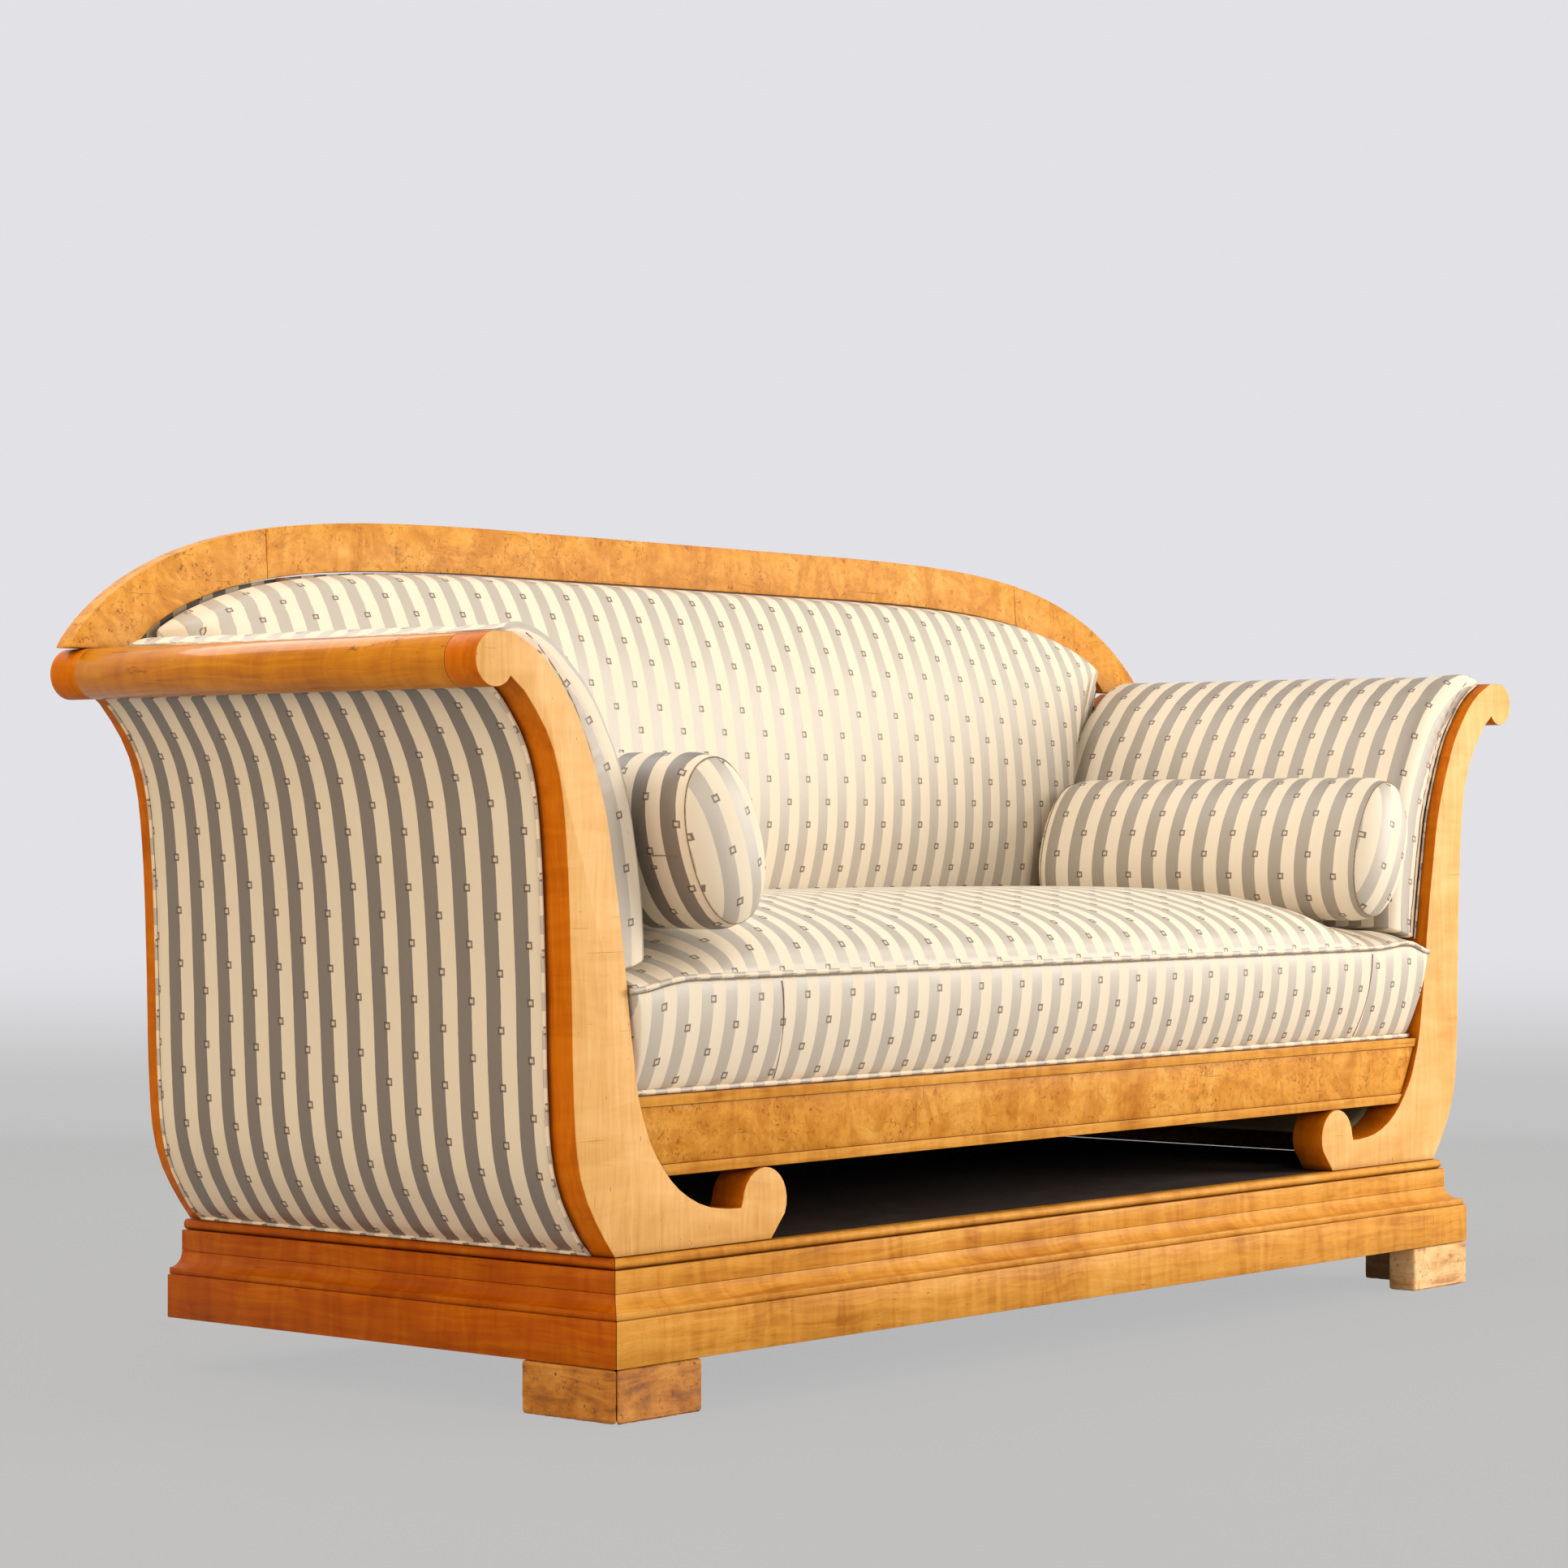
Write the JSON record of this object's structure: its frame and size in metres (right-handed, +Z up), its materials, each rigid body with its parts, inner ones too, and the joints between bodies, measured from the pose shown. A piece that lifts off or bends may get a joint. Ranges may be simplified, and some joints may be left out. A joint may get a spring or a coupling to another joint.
{
  "type": "sofa",
  "caption": "Upholstered sofa with scrolled wooden arms, an arched crest rail, a moulded plinth on block feet, a padded seat and back, and a loose bolster at each end.",
  "frame": {"origin": "on the floor, under the middle of the whole object's box", "axes": "+X along the seat, to the right as seen from in front; +Y from the front towards the back; +Z up"},
  "size_m": [2.162, 0.766, 1.0405],
  "materials": {
    "honey_wood": "satin polish",
    "side_wood": "satin polish",
    "burl_wood": "polished burl veneer",
    "foot_wood": "worn, matte",
    "plain_wood": "bare, matte",
    "striped_cloth": "striped woven cloth",
    "lining_cloth": "plain lining cloth"
  },
  "bodies": {
    "sofa": {"plinth_board_front": "honey_wood", "plinth_board_left": "side_wood", "plinth_board_right": "side_wood", "cove_moulding_front": "honey_wood", "cove_moulding_left": "side_wood", "cove_moulding_right": "side_wood", "frieze_board_front": "honey_wood", "frieze_board_left": "side_wood", "frieze_board_right": "side_wood", "bead_moulding_front": "honey_wood", "bead_moulding_left": "side_wood", "bead_moulding_right": "side_wood", "plinth_board_back": "plain_wood", "plinth_deck": "plain_wood", "foot_left_front_leg": "foot_wood", "foot_left_side_leg": "foot_wood", "foot_left_rear": "foot_wood", "foot_right_front_leg": "foot_wood", "foot_right_side_leg": "foot_wood", "foot_right_rear": "foot_wood", "scroll_board_front_left": "honey_wood", "scroll_board_back_left": "honey_wood", "arm_roll_left": "side_wood", "scroll_board_front_right": "honey_wood", "scroll_board_back_right": "honey_wood", "arm_roll_right": "side_wood", "arm_rail_bottom_left": "plain_wood", "arm_rail_top_left": "plain_wood", "arm_panel_outer_left": "striped_cloth", "arm_lining_left": "lining_cloth", "arm_pad_left": "striped_cloth", "arm_rail_bottom_right": "plain_wood", "arm_rail_top_right": "plain_wood", "arm_panel_outer_right": "striped_cloth", "arm_lining_right": "lining_cloth", "arm_pad_right": "striped_cloth", "seat_rail_lower_strip": "honey_wood", "seat_rail_front": "burl_wood", "seat_rail_upper_strip": "honey_wood", "seat_rail_left": "plain_wood", "seat_rail_right": "plain_wood", "seat_ledge_front": "plain_wood", "seat_rail_back": "plain_wood", "seat_slat_1": "plain_wood", "seat_slat_2": "plain_wood", "seat_slat_3": "plain_wood", "seat_cushion": "striped_cloth", "crest_rail_left": "burl_wood", "crest_rail_right": "burl_wood", "crest_rail_centre": "burl_wood", "back_pad": "striped_cloth", "back_lining": "lining_cloth", "back_stile_left": "plain_wood", "back_stile_right": "plain_wood", "back_panel_outer": "striped_cloth", "slot_board_back": "plain_wood"},
    "bolster_left": {"bolster_left": "striped_cloth"},
    "bolster_right": {"bolster_right": "striped_cloth"}
  },
  "joints": [
    {"name": "bolster_left_lift", "type": "slide", "parent": "sofa", "child": "bolster_left", "axis": [0, 0, 1], "range_m": [0, 0.3]},
    {"name": "bolster_right_lift", "type": "slide", "parent": "sofa", "child": "bolster_right", "axis": [0, 0, 1], "range_m": [0, 0.3]}
  ]
}
